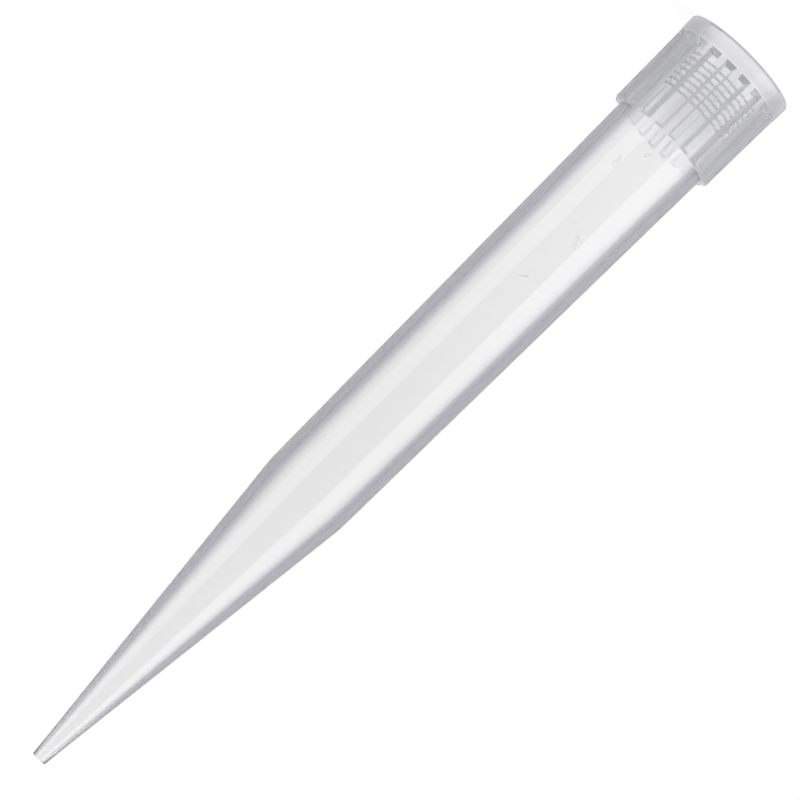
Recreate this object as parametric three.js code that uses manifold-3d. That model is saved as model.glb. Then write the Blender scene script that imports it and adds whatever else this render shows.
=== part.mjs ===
// Large-volume pipette tip: one injection-moulded piece of natural polypropylene.
// Millimetres, +Z up. The tip stands on its mouth: the rim lies in the plane Z = 0, the narrow
// end points up the Z axis, and the origin is the centre of the rim.

import * as THREE from 'three';
import Module from 'manifold-3d';
import { mergeVertices } from 'three/addons/utils/BufferGeometryUtils.js';

// Heights above the rim face
const tipLength = 120;
const shoulderHeight = 75;         // the barrel turns into the nozzle cone
const collarHeight = 13.9;         // lower ends of the collar's fins
const bandHeight = 2.3;            // plain band that closes the collar at the rim
const leadInHeight = 3;            // funnel that guides the pipette into the socket

// Outside diameters
const rimDiameter = 16;
const shoulderDiameter = 11.94;
const outletDiameter = 1.9;

// Walls and steps, each measured on one side
const collarDraft = 0.19;          // the collar narrows by this from the rim to its fins' ends
const finHeight = 1;               // from the barrel wall to the outer face of a fin
const barrelWall = 0.96;           // at the end of the collar
const shoulderWall = 0.97;
const outletWall = 0.3;
const socketTaper = 0.07;          // the socket narrows by this down to the end of the collar
const leadInDepth = 0.36;          // how far the funnel opens out towards the mouth

// Collar fins: the gaps between them are drafted grooves that a slope closes at the band
const finCount = 20;
const finTipWidth = 0.84;
const finRootWidth = 1.24;         // at the barrel wall
const finInset = 0.06;             // the fins stand this far inside the band
const finChamferDepth = 0.14;
const finChamferHeight = 0.22;
const grooveRampHeight = 0.75;

// Sealing rings in the socket
const ringCount = 7;
const firstRingOffset = 0.96;      // from the foot of the funnel to the middle of the first ring
const ringPitch = 0.835;
const ringDepth = 0.11;            // how far a ring stands into the bore
const ringBaseWidth = 0.44;
const ringCrestWidth = 0.16;

// Soft edges
const rimRounding = 0.3;
const mouthRounding = 0.2;
const shoulderBlend = 20;          // radius of the bend from the barrel into the cone
const arcSteps = 3;

const segmentsPerFin = 3;
const roundSegments = finCount * segmentsPerFin;
const overlap = 1;                 // how deep one body runs into the next before they are joined

// Radii that follow from the sizes above
const rimRadius = rimDiameter / 2;
const collarEndRadius = rimRadius - collarDraft;
const barrelTopRadius = collarEndRadius - finHeight;
const shoulderRadius = shoulderDiameter / 2;
const outletRadius = outletDiameter / 2;
const barrelBoreRadius = barrelTopRadius - barrelWall;
const shoulderBoreRadius = shoulderRadius - shoulderWall;
const outletBoreRadius = outletRadius - outletWall;
const socketTopRadius = barrelBoreRadius + socketTaper;
const mouthRadius = socketTopRadius + leadInDepth;

const wasm = await Module();
wasm.setup();

// Radius at height z on the straight line from radius r0 at z0 to radius r1 at z1.
function taper(z, r0, z0, r1, z1) {
  return r0 + (r1 - r0) * (z - z0) / (z1 - z0);
}

function collarRadius(z) {
  return taper(z, rimRadius, 0, collarEndRadius, collarHeight);
}

function barrelRadius(z) {
  return taper(z, barrelTopRadius, collarHeight, shoulderRadius, shoulderHeight);
}

function socketRadius(z) {
  return taper(z, socketTopRadius, leadInHeight, barrelBoreRadius, collarHeight);
}

// Points of an arc in the radius-height plane, from angle a0 to a1 in radians.
function arc(centreRadius, centreHeight, radius, a0, a1) {
  const points = [];
  for (let i = 0; i <= arcSteps; i += 1) {
    const a = a0 + (a1 - a0) * i / arcSteps;
    points.push([centreRadius + radius * Math.cos(a), centreHeight + radius * Math.sin(a)]);
  }
  return points;
}

// A closed three.js geometry as a solid that can be joined and cut.
function toSolid(geometry) {
  geometry.deleteAttribute('normal');
  geometry.deleteAttribute('uv');
  const merged = mergeVertices(geometry, 1e-5);
  return new wasm.Manifold(new wasm.Mesh({
    numProp: 3,
    vertProperties: new Float32Array(merged.attributes.position.array),
    triVerts: new Uint32Array(merged.index.array),
  }));
}

function toGeometry(solid) {
  const mesh = solid.getMesh();
  const geometry = new THREE.BufferGeometry();
  geometry.setAttribute('position', new THREE.BufferAttribute(mesh.vertProperties, 3));
  geometry.setIndex(new THREE.BufferAttribute(mesh.triVerts, 1));
  geometry.computeVertexNormals();
  return geometry;
}

// A body of revolution about Z, from [radius, height] points listed upwards, axis to axis.
function turned(profile) {
  const points = profile.map(([radius, height]) => new THREE.Vector2(radius, height));
  const geometry = new THREE.LatheGeometry(points, roundSegments);
  geometry.rotateX(Math.PI / 2);
  return toSolid(geometry);
}

// The bend where the barrel's wall turns into the cone: an arc tangent to both straight walls.
function shoulderBend() {
  const barrelLean = Math.atan2(barrelRadius(0) - shoulderRadius, shoulderHeight);
  const coneLean = Math.atan2(shoulderRadius - outletRadius, tipLength - shoulderHeight);
  const halfTurn = (coneLean - barrelLean) / 2;
  const midLean = (coneLean + barrelLean) / 2;
  const reach = shoulderBlend / Math.cos(halfTurn);
  const centreRadius = shoulderRadius - reach * Math.cos(midLean);
  const centreHeight = shoulderHeight - reach * Math.sin(midLean);
  return arc(centreRadius, centreHeight, shoulderBlend, barrelLean, coneLean);
}

// The outer wall from the rim to the outlet, without the collar.
function makeBarrel() {
  return turned([
    [0, 0],
    [barrelRadius(0), 0],
    ...shoulderBend(),
    [outletRadius, tipLength],
    [0, tipLength],
  ]);
}

// The plain band at the rim, with the slope that closes the grooves.
function makeBand() {
  const rampEnd = bandHeight + grooveRampHeight;
  return turned([
    [0, 0],
    ...arc(rimRadius - rimRounding, rimRounding, rimRounding, -Math.PI / 2, 0),
    [collarRadius(bandHeight), bandHeight],
    [barrelRadius(rampEnd), rampEnd],
    [0, rampEnd],
  ]);
}

// The fins' common outer shape: the collar's taper, ending in a chamfer.
function makeFinEnvelope() {
  const start = bandHeight - overlap;
  const chamferStart = collarHeight - finChamferHeight;
  return turned([
    [0, start],
    [collarRadius(start) - finInset, start],
    [collarRadius(chamferStart) - finInset, chamferStart],
    [collarRadius(collarHeight) - finInset - finChamferDepth, collarHeight],
    [0, collarHeight],
  ]);
}

// One fin: a drafted section that widens towards the barrel, run along the collar.
function makeFin(index) {
  const draft = (finRootWidth - finTipWidth) / 2 / finHeight;
  const inner = barrelTopRadius - barrelWall / 2;
  const outer = rimRadius + overlap;
  const innerHalf = finRootWidth / 2 + draft * (barrelTopRadius - inner);
  const outerHalf = finRootWidth / 2 - draft * (outer - barrelTopRadius);
  const section = new THREE.Shape();
  section.moveTo(inner, -innerHalf);
  section.lineTo(outer, -outerHalf);
  section.lineTo(outer, outerHalf);
  section.lineTo(inner, innerHalf);
  section.closePath();
  const start = bandHeight - overlap;
  const depth = collarHeight + overlap - start;
  const geometry = new THREE.ExtrudeGeometry(section, { depth, bevelEnabled: false });
  geometry.translate(0, 0, start);
  geometry.rotateZ(index * 2 * Math.PI / finCount);
  return toSolid(geometry);
}

function makeFins() {
  let fins = makeFin(0);
  for (let index = 1; index < finCount; index += 1) {
    fins = fins.add(makeFin(index));
  }
  return fins.intersect(makeFinEnvelope());
}

// The section of one sealing ring, as bore points in the order of rising height.
function ringPoints(index) {
  const middle = leadInHeight + firstRingOffset + index * ringPitch;
  const crest = socketRadius(middle) - ringDepth;
  const baseStart = middle - ringBaseWidth / 2;
  const baseEnd = middle + ringBaseWidth / 2;
  return [
    [socketRadius(baseStart), baseStart],
    [crest, middle - ringCrestWidth / 2],
    [crest, middle + ringCrestWidth / 2],
    [socketRadius(baseEnd), baseEnd],
  ];
}

// Everything that is hollow, from below the rim to above the outlet.
function makeBore() {
  const mouthEdge = mouthRadius + mouthRounding;
  const rings = Array.from({ length: ringCount }, (_, index) => ringPoints(index)).flat();
  const roundedMouth = arc(mouthEdge, mouthRounding, mouthRounding, 1.5 * Math.PI, Math.PI);
  return turned([
    [0, -overlap],
    [mouthEdge, -overlap],
    ...roundedMouth,
    [socketTopRadius, leadInHeight],
    ...rings,
    [barrelBoreRadius, collarHeight],
    [shoulderBoreRadius, shoulderHeight],
    [outletBoreRadius, tipLength],
    [outletBoreRadius, tipLength + overlap],
    [0, tipLength + overlap],
  ]);
}

const polypropylene = new THREE.MeshStandardMaterial({
  color: 0xe2e2e7,
  roughness: 0.25,
  metalness: 0,
  transparent: true,
  opacity: 0.5,
});

const tipSolid = makeBarrel().add(makeBand()).add(makeFins()).subtract(makeBore());
const pipetteTip = new THREE.Mesh(toGeometry(tipSolid), polypropylene);
pipetteTip.name = 'pipette_tip';

const part = new THREE.Group();
part.add(pipetteTip);

export default part;
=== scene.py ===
import math

import bmesh
import bpy
from mathutils import Matrix, Vector


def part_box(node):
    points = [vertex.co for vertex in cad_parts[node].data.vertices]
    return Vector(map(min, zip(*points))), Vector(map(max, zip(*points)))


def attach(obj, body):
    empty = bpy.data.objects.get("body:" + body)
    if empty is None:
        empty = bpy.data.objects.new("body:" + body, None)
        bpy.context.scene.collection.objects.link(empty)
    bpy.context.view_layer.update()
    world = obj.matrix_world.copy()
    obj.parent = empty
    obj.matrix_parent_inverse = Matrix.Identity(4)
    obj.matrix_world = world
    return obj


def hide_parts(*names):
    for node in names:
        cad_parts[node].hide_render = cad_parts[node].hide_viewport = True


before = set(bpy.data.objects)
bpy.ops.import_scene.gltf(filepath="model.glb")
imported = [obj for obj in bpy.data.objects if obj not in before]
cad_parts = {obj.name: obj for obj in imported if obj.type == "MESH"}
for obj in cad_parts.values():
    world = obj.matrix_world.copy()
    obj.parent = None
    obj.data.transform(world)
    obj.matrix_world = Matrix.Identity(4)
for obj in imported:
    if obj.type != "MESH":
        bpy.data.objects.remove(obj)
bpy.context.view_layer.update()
mm = 0.001
print("frame loaded")

# The camera stands level with the outlet and looks slightly down. It is rolled, so that the
# mouth lies to the upper right.
view = {
    "distance": 600 * mm,                 # from the tip's axis
    "height": 122 * mm,
    "azimuth": 5.0,                       # degrees from -Y towards +X
    "aimHeight": 58.8 * mm,
    "roll": -134.8,
    "lens": 224.8,
    "sensor": 36,
    "clipStart": 0.01,
    "clipEnd": 50,
}


def makeCamera():
    azimuth = math.radians(view["azimuth"])
    place = Vector((
        view["distance"] * math.sin(azimuth),
        -view["distance"] * math.cos(azimuth),
        view["height"],
    ))
    look = Vector((0, 0, view["aimHeight"])) - place
    data = bpy.data.cameras.new("camera")
    data.lens = view["lens"]
    data.sensor_width = view["sensor"]
    data.clip_start = view["clipStart"]
    data.clip_end = view["clipEnd"]
    camera = bpy.data.objects.new("camera", data)
    turn = Matrix.Rotation(math.radians(view["roll"]), 4, "Z")
    camera.matrix_world = (
        Matrix.Translation(place) @ look.to_track_quat("-Z", "Y").to_matrix().to_4x4() @ turn
    )
    bpy.context.scene.collection.objects.link(camera)
    bpy.context.scene.camera = camera


makeCamera()
print("camera placed")

# The shell: one profile turned round the axis, then the grooves pressed in between the fins.
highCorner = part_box("pipette_tip")[1]
tip = {                                   # millimetres
    "length": highCorner.z / mm,
    "rimRadius": highCorner.x / mm,
    "shoulderHeight": 75,
    "collarHeight": 13.9,                 # where the fins end
    "bandHeight": 2.3,
    "leadInHeight": 3,
    "shoulderRadius": 5.97,
    "outletRadius": 0.95,
    "collarDraft": 0.19,
    "barrelWall": 0.96,
    "shoulderWall": 0.97,
    "outletWall": 0.3,
    "socketTaper": 0.07,
    "leadInDepth": 0.36,
    "rimRounding": 0.3,
    "mouthRounding": 0.2,
    "outletRounding": 0.07,
    "outletLean": 0.112,                  # how fast the cone widens from the outlet
    "shoulderBlend": 20,                  # radius of the bend into the cone
    # fins and the grooves between them
    "fins": 20,
    "finHeight": 1,
    "finInset": 0.06,
    "finChamferDepth": 0.14,
    "finChamferHeight": 0.22,
    "finEdge": 0.03,                      # rounding of the fins' long edges
    "softDepth": 0.3,                     # the rounding starts where a groove is this deep
    "grooveRamp": 0.75,                   # slope that closes a groove at the band
    "rampEase": 0.1,                      # height over which the slope runs out on the floor
    "rampEaseDepth": 0.004,
    "floorStop": 0.36,                    # the floor's last row, before the fins' chamfer
    "endSpread": 0.38,                    # the floor's rows behind the fins' ends
    "endShares": (0, 0.35, 0.7),
    # the lip where the band meets the slopes
    "lipStart": 0.1,
    "lipFall": 0.02,
    "lipDrop": 0.012,
    "lipRise": 0.025,
    "lipShare": 0.8,                      # of the fins' inset
    "lipDepth": 0.05,
    "lipFoot": 0.03,
    # sealing rings
    "rings": 7,
    "firstRing": 3.96,
    "ringPitch": 0.835,
    "ringDepth": 0.11,
    "ringWidth": 0.44,
}
steps = {                                 # rows of faces along each stretch of the profile
    "rim": 6,
    "band": 4,
    "ramp": 6,
    "fin": 9,
    "barrel": 16,
    "bend": 8,
    "cone": 14,
    "outlet": 4,
    "ring": 10,
    "socket": 2,
    "funnel": 6,
    "mouth": 4,
    "pitch": 17,                          # columns round one fin and one groove
}
collarEnd = tip["rimRadius"] - tip["collarDraft"]
barrelTop = collarEnd - tip["finHeight"]
boreTop = barrelTop - tip["barrelWall"]
socketTop = boreTop + tip["socketTaper"]
mouthRadius = socketTop + tip["leadInDepth"]

# columns, counted from the middle of a fin to either side
faceColumn = 3                            # edge of the fin's outer face
wallColumn = 4                            # half way down its side
floorColumn = 5                           # corner of the groove
halfPitch = steps["pitch"] / 2
allColumns = tip["fins"] * steps["pitch"]
columnAngle = 2 * math.pi / allColumns


def taper(z, r0, z0, r1, z1):
    return r0 + (r1 - r0) * (z - z0) / (z1 - z0)


def collarRadius(z):
    return taper(z, tip["rimRadius"], 0, collarEnd, tip["collarHeight"])


def barrelRadius(z):
    return taper(z, barrelTop, tip["collarHeight"], tip["shoulderRadius"], tip["shoulderHeight"])


def socketRadius(z):
    return taper(z, socketTop, tip["leadInHeight"], boreTop, tip["collarHeight"])


def arc(radius, height, size, start, end, count):
    points = []
    for i in range(count + 1):
        angle = math.radians(start + (end - start) * i / count)
        points.append((radius + size * math.cos(angle), height + size * math.sin(angle)))
    return points


def straight(start, end, count):
    return [
        (start[0] + (end[0] - start[0]) * i / count, start[1] + (end[1] - start[1]) * i / count)
        for i in range(1, count + 1)
    ]


def bend(before, corner, after):
    inLean = math.degrees(math.atan2(before[0] - corner[0], corner[1] - before[1]))
    outLean = math.degrees(math.atan2(corner[0] - after[0], after[1] - corner[1]))
    mid = math.radians((inLean + outLean) / 2)
    size = tip["shoulderBlend"]
    reach = size / math.cos(math.radians(outLean - inLean) / 2)
    return arc(
        corner[0] - reach * math.cos(mid), corner[1] - reach * math.sin(mid),
        size, inLean, outLean, steps["bend"],
    )


def collarRows():
    # each row holds the fin's radius and height, then the groove's
    rounding = tip["rimRounding"]
    band = tip["bandHeight"]
    lip = band - tip["lipStart"]
    points = arc(tip["rimRadius"] - rounding, rounding, rounding, -90, 0, steps["rim"])
    points += straight((tip["rimRadius"], rounding), (collarRadius(lip), lip), steps["band"])
    bandRadius = collarRadius(band)
    points.append((bandRadius - tip["lipDrop"], band - tip["lipFall"]))
    rows = [(r, z, r, z) for r, z in points]
    # the slope that closes the groove
    inset = tip["finInset"]
    rampStart = band + tip["lipFoot"]
    rampEnd = band + tip["grooveRamp"]
    rampDepth = bandRadius - barrelRadius(rampEnd)
    rows.append((
        bandRadius - inset * tip["lipShare"], band + tip["lipRise"],
        bandRadius - tip["lipDepth"], rampStart,
    ))
    for i in range(1, steps["ramp"] + 1):
        share = i / (steps["ramp"] + 1)
        z = rampStart + (rampEnd - band) * share
        rows.append((collarRadius(z) - inset, z, bandRadius - rampDepth * share, z))
    rampFoot = rampEnd + tip["rampEase"]
    rows.append((
        collarRadius(rampFoot) - inset, rampFoot,
        barrelRadius(rampEnd) - tip["rampEaseDepth"], rampFoot,
    ))
    # the fin's face and its chamfered end
    end = tip["collarHeight"]
    chamferStart = end - tip["finChamferHeight"]
    for _, z in straight((0, rampFoot), (0, chamferStart), steps["fin"]):
        grooveZ = min(z, chamferStart - tip["floorStop"])
        rows.append((collarRadius(z) - inset, z, barrelRadius(grooveZ), grooveZ))
    chamferRadius = collarRadius(end) - inset - tip["finChamferDepth"]
    for share in tip["endShares"]:
        r = chamferRadius + (barrelTop - chamferRadius) * share
        grooveZ = end - tip["endSpread"] * (1 - share)
        rows.append((r, end, barrelRadius(grooveZ), grooveZ))
    return rows


def barrelPoints():
    # barrel, shoulder and cone
    end = tip["collarHeight"]
    shoulder = (tip["shoulderRadius"], tip["shoulderHeight"])
    outlet = (tip["outletRadius"], tip["length"])
    edge = tip["outletRounding"]
    start = (barrelTop, end)
    turn = bend((barrelRadius(0), 0), shoulder, outlet)
    coneEnd = (outlet[0] + tip["outletLean"] * edge, outlet[1] - edge)
    points = [start]
    points += straight(start, turn[0], steps["barrel"])
    points += turn[1:]
    points += straight(turn[-1], coneEnd, steps["cone"])
    points += arc(outlet[0] - edge, outlet[1] - edge, edge, 0, 90, steps["outlet"])[1:]
    # the bore, back to the end of the collar
    outletBore = tip["outletRadius"] - tip["outletWall"]
    boreShoulder = (tip["shoulderRadius"] - tip["shoulderWall"], tip["shoulderHeight"])
    boreTurn = bend((boreTop, end), boreShoulder, (outletBore, outlet[1]))
    boreTurn.reverse()
    points += arc(outletBore + edge, outlet[1] - edge, edge, 90, 180, steps["outlet"])
    points += straight((outletBore, outlet[1] - edge), boreTurn[0], steps["cone"])
    points += boreTurn[1:]
    points += straight(boreTurn[-1], (boreTop, end), steps["barrel"])
    return points


def socketPoints():
    points = []
    half = tip["ringWidth"] / 2
    last = (boreTop, tip["collarHeight"])
    for index in reversed(range(tip["rings"])):
        middle = tip["firstRing"] + index * tip["ringPitch"]
        points += straight(last, (socketRadius(middle + half), middle + half), steps["socket"])
        for step in range(1, steps["ring"]):
            z = middle + half * math.cos(math.pi * step / steps["ring"])
            swell = 0.5 + 0.5 * math.cos(math.pi * (z - middle) / half)
            points.append((socketRadius(z) - tip["ringDepth"] * swell, z))
        last = (socketRadius(middle - half), middle - half)
        points.append(last)
    # the funnel and the rounded mouth
    foot = (socketTop, tip["leadInHeight"])
    mouth = tip["mouthRounding"]
    points += straight(last, foot, steps["socket"])
    points += straight(foot, (mouthRadius, mouth), steps["funnel"])
    points += arc(mouthRadius + mouth, mouth, mouth, 180, 270, steps["mouth"])[1:]
    return points


def spinProfile(rows):
    bm = bmesh.new()
    rowOf = bm.verts.layers.int.new("row")
    bm.verts.layers.int.new("column")
    loop = []
    for index, (r, z, _, _) in enumerate(rows):
        vert = bm.verts.new((r, 0, z))
        vert[rowOf] = index
        loop.append(vert)
    edges = [bm.edges.new((loop[i - 1], loop[i])) for i in range(len(loop))]
    bmesh.ops.spin(
        bm, geom=loop + edges, cent=(0, 0, 0), axis=(0, 0, 1),
        angle=2 * math.pi, steps=allColumns, use_merge=True,
    )
    return bm


def columnsFromFin(vert):
    half = steps["pitch"] // 2
    column = round(math.atan2(vert.co.y, vert.co.x) / columnAngle)
    return (column + half) % steps["pitch"] - half


def pressGrooves(bm, rows):
    rowOf = bm.verts.layers.int["row"]
    pressed = {}
    for vert in bm.verts:
        r, z, grooveR, grooveZ = rows[vert[rowOf]]
        column = abs(columnsFromFin(vert))
        if (r, z) == (grooveR, grooveZ) or column < wallColumn:
            continue
        share = 0.5 if column == wallColumn else 1
        pressed.setdefault((vert[rowOf], share), []).append(vert)
    for (index, share), verts in pressed.items():
        r, z, grooveR, grooveZ = rows[index]
        size = 1 + (grooveR / r - 1) * share
        bmesh.ops.scale(bm, vec=(size, size, 1), verts=verts)
        bmesh.ops.translate(bm, vec=(0, 0, (grooveZ - z) * share), verts=verts)


def leanFins(bm, rows):
    # the sides of a fin are drafted, so a shallow groove is wider
    rowOf = bm.verts.layers.int["row"]
    columnOf = bm.verts.layers.int["column"]
    lean = {}
    for vert in bm.verts:
        r, z, grooveR, grooveZ = rows[vert[rowOf]]
        if (r, z) == (grooveR, grooveZ):
            continue
        column = columnsFromFin(vert)
        vert[columnOf] = abs(column)
        lean.setdefault((vert[rowOf], column), []).append(vert)
    wallColumns = floorColumn - faceColumn
    for (index, column), verts in lean.items():
        r, z, grooveR, grooveZ = rows[index]
        floor = barrelRadius(grooveZ)
        full = collarRadius(z) - tip["finInset"] - floor
        finSide = floorColumn - wallColumns * min(1, (r - floor) / full)
        grooveSide = floorColumn - wallColumns * max(0, (grooveR - floor) / full)
        across = abs(column)
        if across <= faceColumn:
            place = across * finSide / faceColumn
        elif across == wallColumn:
            place = (finSide + grooveSide) / 2
        else:
            share = halfPitch - floorColumn
            place = grooveSide + (across - floorColumn) * (halfPitch - grooveSide) / share
        angle = (place - across) * columnAngle * (1 if column > 0 else -1)
        turn = Matrix.Rotation(angle, 3, "Z")
        bmesh.ops.rotate(bm, cent=(0, 0, 0), matrix=turn, verts=verts)


def softenEdges(bm, rows):
    # long edges of the fins and corners of the grooves
    rowOf = bm.verts.layers.int["row"]
    columnOf = bm.verts.layers.int["column"]
    long = []
    for edge in bm.edges:
        a, b = edge.verts
        if abs(a[rowOf] - b[rowOf]) != 1 or a[columnOf] != b[columnOf]:
            continue
        depths = [rows[vert[rowOf]][0] - rows[vert[rowOf]][2] for vert in (a, b)]
        if a[columnOf] in (faceColumn, floorColumn) and min(depths) >= tip["softDepth"]:
            long.append(edge)
    bmesh.ops.bevel(
        bm, geom=long, affect="EDGES", offset=tip["finEdge"], offset_type="OFFSET",
        segments=2, profile=0.5, material=-1, clamp_overlap=True,
    )


def makeShell():
    rows = collarRows()
    rows += [(r, z, r, z) for r, z in barrelPoints() + socketPoints()]
    bm = spinProfile(rows)
    pressGrooves(bm, rows)
    leanFins(bm, rows)
    softenEdges(bm, rows)
    bmesh.ops.remove_doubles(bm, verts=bm.verts, dist=1e-5)
    bmesh.ops.scale(bm, vec=(mm, mm, mm), verts=bm.verts)
    bmesh.ops.recalc_face_normals(bm, faces=bm.faces)
    for face in bm.faces:
        face.smooth = True
    closed = all(edge.is_manifold for edge in bm.edges)
    print("shell made:", len(bm.verts), "vertices,", "closed" if closed else "open")
    mesh = bpy.data.meshes.new("tipShell")
    bm.to_mesh(mesh)
    bm.free()
    mesh.attributes.remove(mesh.attributes["row"])
    mesh.attributes.remove(mesh.attributes["column"])
    mesh.set_sharp_from_angle(angle=math.radians(32))
    shell = bpy.data.objects.new("tipShell", mesh)
    bpy.context.scene.collection.objects.link(shell)
    return shell


shell = makeShell()

# Natural polypropylene: clear, slightly milky, matte where the mould is textured.
plastic = {
    "color": (0.964, 0.964, 0.969, 1),
    "paleColor": (0.998, 0.998, 1.0, 1),  # towards the collar and in slow clouds
    "edgeShadeColor": (0.37, 0.36, 0.41, 1),   # painted shade where the round wall turns away from the viewer
    "flankShadeColor": (0.8, 0.8, 0.825, 1),   # painted shade, the same on the collar, and on the fins' sides
    "finColor": (0.88, 0.88, 0.915, 1),   # the thick wall under the fins
    "slopeShadeColor": (0.26, 0.26, 0.3, 1),   # painted shade on the slopes that close the grooves
    # painted shade on the sealing rings
    "ringShadeColor": (0.5, 0.5, 0.55, 1),
    "markColor": (0.84, 0.84, 0.88, 1),
    "transmission": 0.88,
    "ior": 1.49,
    "absorptionColor": (0.72, 0.72, 0.75, 1),
    "absorptionDensity": 60,
    # roughness
    "gloss": 0.09,
    "collarMatte": 0.2,
    "socketMatte": 0.3,
    "flankMatte": 0.6,                    # this and the next two are added on top
    "cloudMatte": 0.04,
    "markMatte": 0.2,
    # bump
    "flowBump": 0.6,
    "grainBump": 0.04,
    "markBump": -0.2,
    "bumpStrength": 0.25,
    "bumpHeight": 0.01 * mm,
    # patterns
    "cloudScale": 160,
    "cloudPale": 0.4,
    "upperPale": 0.6,                     # beside the collar, gone at the end of the span
    "upperSpan": (14 * mm, 66 * mm),
    "flowScale": 420,
    "flowStretch": 0.04,
    "grainScale": 9000,
    "speckScale": 260,
    "speckSize": (0.03, 0.055),
    "speckCut": 0.9,                      # the share of the cells without a speck
    # how far the wall turns from the viewer before the painted shade starts, along a span of
    # heights
    "edgeSpan": (14 * mm, 75 * mm),
    "edgeStart": (0.27, 0.23),
    "edgeWidth": 0.28,
    "flankSpan": (0, 3 * mm),
    "flankStart": (0.35, 0.26),
    "flankWidth": 0.08,
    "flankBase": 0.3,                     # of the flank's painted shade off the fins' faces
    "flankOnSlope": 0.8,                  # how much of a slope's painted shade the flank hides
}
# where each kind of surface lies: a radius, or a distance from a cone, from nothing to full
zones = {
    "belowFade": 0.1 * mm,
    "collar": (6.55 * mm, 6.7 * mm),
    "finFace": (7.3 * mm, 7.6 * mm),
    "socket": (6.3 * mm, 6.45 * mm),      # inside these radii
    "offFace": (0.01 * mm, 0.03 * mm),    # off the fins' faces and the grooves' floors
    "slope": (7.0 * mm, 7.88 * mm),       # between these radii
    "slopeFade": 0.025 * mm,
    "nearSlope": (0.05 * mm, 0.09 * mm),
    "ringProud": (0.02 * mm, 0.05 * mm),
    "ringMargin": 0.4 * mm,
    "ringFade": 0.05 * mm,
}
# short hair marks on the barrel: degrees from -Y towards +X, then millimetres
hairMarks = [
    {"azimuth": 4, "height": 17.2, "length": 1.6, "tilt": 35, "wave": 0.4},
    {"azimuth": 23, "height": 20.4, "length": 2.3, "tilt": -14, "wave": 0.3},
    {"azimuth": -9, "height": 31.0, "length": 2.6, "tilt": -24, "wave": 0.4},
    {"azimuth": 7, "height": 38.4, "length": 1.6, "tilt": 40, "wave": 0.3},
    {"azimuth": 128, "height": 52.0, "length": 2.2, "tilt": 12, "wave": 0.4},
    {"azimuth": -124, "height": 27.5, "length": 1.9, "tilt": -32, "wave": 0.3},
]
hair = {
    "width": (0.04 * mm, 0.13 * mm),
    "fullLength": 0.6,                    # the share of a mark before it fades out
    "waveScale": 900,
    "waveSize": 3 * mm,
}


class NodeMaker:
    def __init__(self, tree):
        self.tree = tree

    def add(self, kind, **settings):
        node = self.tree.nodes.new(kind)
        for name, value in settings.items():
            setattr(node, name, value)
        return node

    def put(self, value, socket):
        if isinstance(value, bpy.types.NodeSocket):
            self.tree.links.new(value, socket)
        else:
            socket.default_value = value

    def math(self, operation, *values, clamp=False):
        node = self.add("ShaderNodeMath", operation=operation, use_clamp=clamp)
        for index, value in enumerate(values):
            self.put(value, node.inputs[index])
        return node.outputs[0]

    def times(self, *values):
        result = values[0]
        for value in values[1:]:
            result = self.math("MULTIPLY", result, value)
        return result

    def minus(self, a, b):
        return self.math("SUBTRACT", a, b)

    def ramp(self, value, low, high, start=0.0, end=1.0, kind="SMOOTHSTEP"):
        node = self.add("ShaderNodeMapRange", interpolation_type=kind)
        for index, item in enumerate((value, low, high, start, end)):
            self.put(item, node.inputs[index])
        return node.outputs[0]

    def between(self, value, low, high, soft):
        rise = self.ramp(value, low - soft, low + soft)
        return self.times(rise, self.ramp(value, high - soft, high + soft, 1.0, 0.0))

    def noise(self, where, scale, detail=2.0):
        node = self.add("ShaderNodeTexNoise")
        self.put(where, node.inputs["Vector"])
        self.put(scale, node.inputs["Scale"])
        self.put(detail, node.inputs["Detail"])
        return node.outputs["Fac"]

    def split(self, vector):
        node = self.add("ShaderNodeSeparateXYZ")
        self.put(vector, node.inputs[0])
        return node.outputs

    def blend(self, share, a, b, kind="RGBA"):
        node = self.add("ShaderNodeMix", data_type=kind)
        self.put(share, node.inputs["Factor"])
        self.put(a, node.inputs["A"])
        self.put(b, node.inputs["B"])
        return node.outputs["Result"]


def cone(make, z, radius, lean):
    # radius at height z of a cone that narrows upwards
    return make.math("MULTIPLY_ADD", z, -lean, radius * mm)


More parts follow.
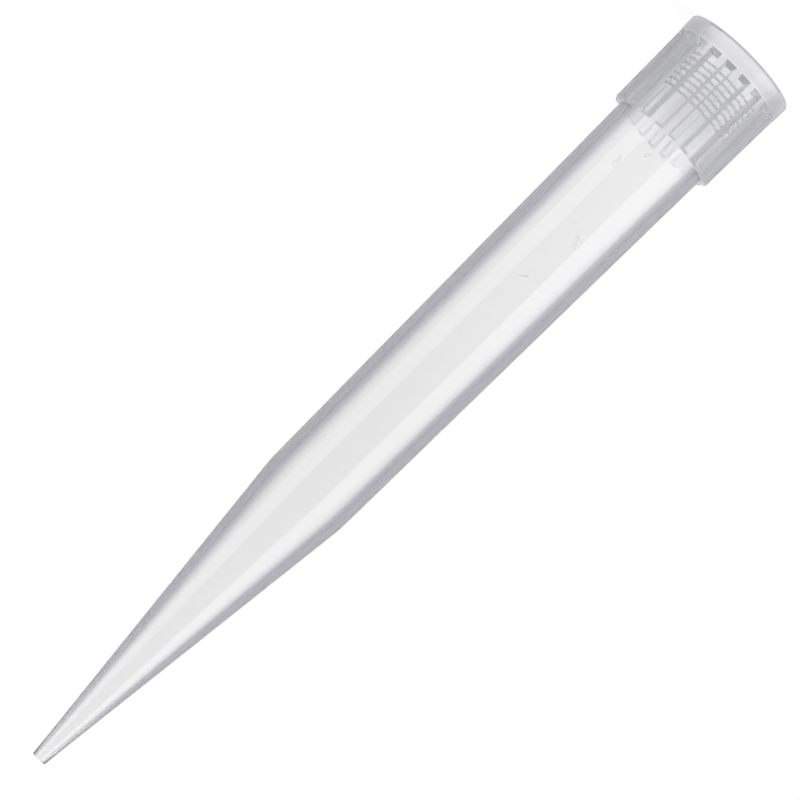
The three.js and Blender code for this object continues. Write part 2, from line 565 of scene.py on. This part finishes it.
def makeZones(make, z, radius):
    end = tip["collarHeight"]
    band = tip["bandHeight"]
    rampEnd = band + tip["grooveRamp"]
    below = make.ramp(z, end * mm, end * mm + zones["belowFade"], 1.0, 0.0)
    # sides of the fins, with their rounded edges
    faceLean = (collarRadius(0) - collarRadius(end)) / end
    floorLean = (barrelRadius(0) - barrelRadius(end)) / end
    face = cone(make, z, collarRadius(0) - tip["finInset"], faceLean)
    floor = cone(make, z, barrelRadius(0), floorLean)
    finWall = make.times(
        make.ramp(make.minus(face, radius), *zones["offFace"]),
        make.ramp(make.minus(radius, floor), *zones["offFace"]), below,
        make.ramp(z, rampEnd * mm, (rampEnd + tip["rampEase"]) * mm))
    # slopes that close the grooves, where shade is painted
    slopeLean = (collarRadius(band) - barrelRadius(rampEnd)) / tip["grooveRamp"]
    slopeCone = cone(make, z, collarRadius(band) + band * slopeLean, slopeLean)
    away = make.math("ABSOLUTE", make.minus(radius, slopeCone))
    slope = make.times(
        make.ramp(away, *zones["nearSlope"], 1.0, 0.0),
        make.between(radius, *zones["slope"], zones["slopeFade"]))
    # sealing rings, which stand proud of the socket's wall; shade is painted on them
    socketLean = tip["socketTaper"] / (end - tip["leadInHeight"])
    proud = make.minus(cone(make, z, socketRadius(0), socketLean), radius)
    lastRing = tip["firstRing"] + tip["ringPitch"] * (tip["rings"] - 1)
    ring = make.times(
        make.ramp(proud, *zones["ringProud"]),
        make.between(
            z, tip["firstRing"] * mm - zones["ringMargin"],
            lastRing * mm + zones["ringMargin"], zones["ringFade"]))
    return {
        "collar": make.times(make.ramp(radius, *zones["collar"]), below),
        "finFace": make.times(make.ramp(radius, *zones["finFace"]), below),
        "finWall": finWall,
        "socket": make.times(make.ramp(radius, *zones["socket"], 1.0, 0.0), below),
        "slope": slope,
        "ring": ring,
    }


def makeHairMarks(make, where, x, y, z, radius):
    turn = make.math("ARCTAN2", x, make.times(y, -1.0))
    wobble = make.minus(make.noise(where, hair["waveScale"], 1.0), 0.5)
    marks = 0.0
    for mark in hairMarks:
        tilt = math.radians(mark["tilt"])
        across = make.times(make.minus(turn, math.radians(mark["azimuth"])), radius)
        up = make.minus(z, mark["height"] * mm)
        along = make.math(
            "ADD", make.times(up, math.cos(tilt)), make.times(across, math.sin(tilt)))
        aside = make.minus(make.times(across, math.cos(tilt)), make.times(up, math.sin(tilt)))
        aside = make.math("ADD", aside, make.times(wobble, mark["wave"] * hair["waveSize"]))
        thin = make.ramp(make.math("ABSOLUTE", aside), *hair["width"], 1.0, 0.0)
        half = mark["length"] / 2 * mm
        along = make.math("ABSOLUTE", along)
        short = make.ramp(along, half * hair["fullLength"], half, 1.0, 0.0)
        marks = make.math("MAXIMUM", marks, make.times(thin, short))
    return marks


def makeSpecks(make, where):
    dots = make.add("ShaderNodeTexVoronoi", feature="F1")
    make.put(where, dots.inputs["Vector"])
    make.put(plastic["speckScale"], dots.inputs["Scale"])
    cell = make.add("ShaderNodeSeparateColor")
    make.put(dots.outputs["Color"], cell.inputs[0])
    return make.times(
        make.ramp(dots.outputs["Distance"], *plastic["speckSize"], 1.0, 0.0),
        make.math("GREATER_THAN", cell.outputs[0], plastic["speckCut"]))


def makeBump(make, where, finFace, marks):
    # flow lines along the barrel and a fine grain on the collar
    stretch = make.add("ShaderNodeMapping")
    make.put(where, stretch.inputs["Vector"])
    make.put((1, 1, plastic["flowStretch"]), stretch.inputs["Scale"])
    flow = make.noise(stretch.outputs[0], plastic["flowScale"])
    grain = make.times(make.noise(where, plastic["grainScale"]), finFace)
    height = make.times(flow, plastic["flowBump"])
    height = make.math("MULTIPLY_ADD", grain, plastic["grainBump"], height)
    height = make.math("MULTIPLY_ADD", marks, plastic["markBump"], height)
    bump = make.add("ShaderNodeBump")
    make.put(plastic["bumpStrength"], bump.inputs["Strength"])
    make.put(plastic["bumpHeight"], bump.inputs["Distance"])
    make.put(height, bump.inputs["Height"])
    return bump.outputs[0]


def makePlastic():
    material = bpy.data.materials.new("naturalPolypropylene")
    material.use_nodes = True
    make = NodeMaker(material.node_tree)
    shader = material.node_tree.nodes["Principled BSDF"]
    output = material.node_tree.nodes["Material Output"]
    where = make.add("ShaderNodeTexCoord").outputs["Object"]
    x, y, z = make.split(where)
    radius = make.math("SQRT", make.math("ADD", make.times(x, x), make.times(y, y)))
    zone = makeZones(make, z, radius)
    barrel = make.minus(1.0, zone["collar"])
    marks = make.math(
        "MAXIMUM", makeSpecks(make, where), makeHairMarks(make, where, x, y, z, radius))
    marks = make.times(marks, barrel)

    # painted shade where a clear wall turns away from the viewer, on the barrel and the collar,
    # and the collar's more matte
    facing = make.add("ShaderNodeLayerWeight").outputs["Facing"]
    edgeStart = make.ramp(z, *plastic["edgeSpan"], *plastic["edgeStart"], kind="LINEAR")
    edge = make.ramp(make.minus(facing, edgeStart), 0.0, plastic["edgeWidth"])
    edge = make.times(edge, barrel)
    flankStart = make.ramp(z, *plastic["flankSpan"], *plastic["flankStart"], kind="LINEAR")
    flank = make.ramp(make.minus(facing, flankStart), 0.0, plastic["flankWidth"])
    flank = make.math("MAXIMUM", make.times(flank, zone["collar"]), zone["finWall"])
    base = plastic["flankBase"]
    flankShade = make.times(flank, make.math("MULTIPLY_ADD", zone["finFace"], 1 - base, base))
    bare = make.minus(1.0, make.times(flank, plastic["flankOnSlope"]))
    # painted shade on the slopes, less where the flank's painted shade lies
    slope = make.times(zone["slope"], bare)

    cloud = make.noise(where, plastic["cloudScale"], 3)
    rough = plastic["gloss"]
    for share, amount in (
        (zone["collar"], plastic["collarMatte"] - plastic["gloss"]),
        (zone["socket"], plastic["socketMatte"] - plastic["gloss"]),
        (flank, plastic["flankMatte"]),
        (make.minus(cloud, 0.5), plastic["cloudMatte"]),
        (marks, plastic["markMatte"]),
    ):
        rough = make.math("MULTIPLY_ADD", share, amount, rough, clamp=True)
    make.put(rough, shader.inputs["Roughness"])

    upper = make.ramp(z, *plastic["upperSpan"], plastic["upperPale"], 0.0)
    pale = make.math("MULTIPLY_ADD", cloud, plastic["cloudPale"], upper, clamp=True)
    tint = make.blend(pale, plastic["color"], plastic["paleColor"])
    # painted shade at the edges, the flanks, the slopes and the rings, besides the fins' tint
    # and the marks
    for share, color in (
        (edge, "edgeShadeColor"),
        (zone["finFace"], "finColor"),
        (flankShade, "flankShadeColor"),
        (slope, "slopeShadeColor"),
        (zone["ring"], "ringShadeColor"),
        (marks, "markColor"),
    ):
        tint = make.blend(share, tint, plastic[color])
    make.put(tint, shader.inputs["Base Color"])
    make.put(makeBump(make, where, zone["finFace"], marks), shader.inputs["Normal"])

    make.put(plastic["ior"], shader.inputs["IOR"])
    make.put(plastic["transmission"], shader.inputs["Transmission Weight"])
    soak = make.add("ShaderNodeVolumeAbsorption")
    make.put(plastic["absorptionColor"], soak.inputs["Color"])
    make.put(plastic["absorptionDensity"], soak.inputs["Density"])
    make.put(soak.outputs[0], output.inputs["Volume"])
    return material


shell.data.materials.append(makePlastic())
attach(shell, "root")
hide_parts("pipette_tip")
print("plastic made")

# The studio: a pale floor, an even sky and two upright strips of light.
studio = {
    "white": 1.0,
    "ambient": 1.0,
    "front": 0.65,                        # what the polished outside reflects between the strips
    "side": 0.85,                         # what the plastic's inner reflections find
    "ceiling": 0.3,                       # seen through the plastic, high above
    "ceilingSpan": (0.03, 0.2),           # sine of the angle above level
    "floorColor": (0.2, 0.2, 0.2, 1),
    "floorGlow": 0.8,
    "floorMatte": 0.9,
    "floorSize": 8,
    "eastStrip": {"azimuth": 45, "width": 0.31, "radiance": 1.5},
    "westStrip": {"azimuth": -65, "width": 0.51, "radiance": 2.1},
    "stripHeight": 1.2,
    "stripDistance": 0.5,
    "stripAim": 50 * mm,
    "bounces": 24,
    "glossyBounces": 12,
}


def chooseLight(make, plain, through):
    # what each kind of ray finds
    path = make.add("ShaderNodeLightPath")
    reflected = make.math("GREATER_THAN", path.outputs["Glossy Depth"], 0.5)
    outside = make.math("LESS_THAN", path.outputs["Transmission Depth"], 0.5)
    value = plain
    for share, level in (
        (path.outputs["Is Transmission Ray"], through),
        (reflected, studio["side"]),
        (make.times(reflected, outside), studio["front"]),
        (path.outputs["Is Camera Ray"], studio["white"]),
    ):
        value = make.blend(share, value, level, "FLOAT")
    return value


def makeWorld():
    world = bpy.data.worlds.new("studioSky")
    bpy.context.scene.world = world
    world.use_nodes = True
    world.cycles.sampling_method = "NONE"
    make = NodeMaker(world.node_tree)
    sky = world.node_tree.nodes["Background"]
    make.put((1, 1, 1, 1), sky.inputs["Color"])
    upward = make.split(make.add("ShaderNodeTexCoord").outputs["Generated"])[2]
    through = make.ramp(upward, *studio["ceilingSpan"], 1.0, studio["ceiling"])
    make.put(chooseLight(make, studio["ambient"], through), sky.inputs["Strength"])


def makeFloor():
    bm = bmesh.new()
    bmesh.ops.create_grid(bm, x_segments=1, y_segments=1, size=studio["floorSize"])
    mesh = bpy.data.meshes.new("floor")
    bm.to_mesh(mesh)
    bm.free()
    floor = bpy.data.objects.new("floor", mesh)
    bpy.context.scene.collection.objects.link(floor)
    material = bpy.data.materials.new("paleFloor")
    material.use_nodes = True
    material.cycles.emission_sampling = "NONE"
    make = NodeMaker(material.node_tree)
    shader = material.node_tree.nodes["Principled BSDF"]
    make.put(studio["floorColor"], shader.inputs["Base Color"])
    make.put(studio["floorMatte"], shader.inputs["Roughness"])
    make.put(0, shader.inputs["Specular IOR Level"])
    make.put((1, 1, 1, 1), shader.inputs["Emission Color"])
    glow = make.times(chooseLight(make, 1.0, 1.0), studio["floorGlow"])
    make.put(glow, shader.inputs["Emission Strength"])
    mesh.materials.append(material)
    floor.visible_glossy = False


def makeStrip(name):
    strip = studio[name]
    data = bpy.data.lights.new(name, "AREA")
    data.shape = "RECTANGLE"
    data.size = strip["width"]
    data.size_y = studio["stripHeight"]
    data.energy = strip["radiance"] * math.pi * data.size * data.size_y
    lamp = bpy.data.objects.new(name, data)
    angle = math.radians(view["azimuth"] + strip["azimuth"])
    away = Vector((math.sin(angle), -math.cos(angle), 0)) * studio["stripDistance"]
    lamp.location = Vector((0, 0, studio["stripAim"])) + away
    lamp.rotation_euler = (-away).to_track_quat("-Z", "Y").to_euler()
    lamp.visible_camera = False
    lamp.visible_transmission = False
    bpy.context.scene.collection.objects.link(lamp)


makeWorld()
makeFloor()
makeStrip("eastStrip")
makeStrip("westStrip")
scene = bpy.context.scene
scene.view_settings.view_transform = "Standard"
scene.cycles.max_bounces = studio["bounces"]
scene.cycles.transmission_bounces = studio["bounces"]
scene.cycles.glossy_bounces = studio["glossyBounces"]
scene.cycles.transparent_max_bounces = studio["bounces"]
print("studio lit")
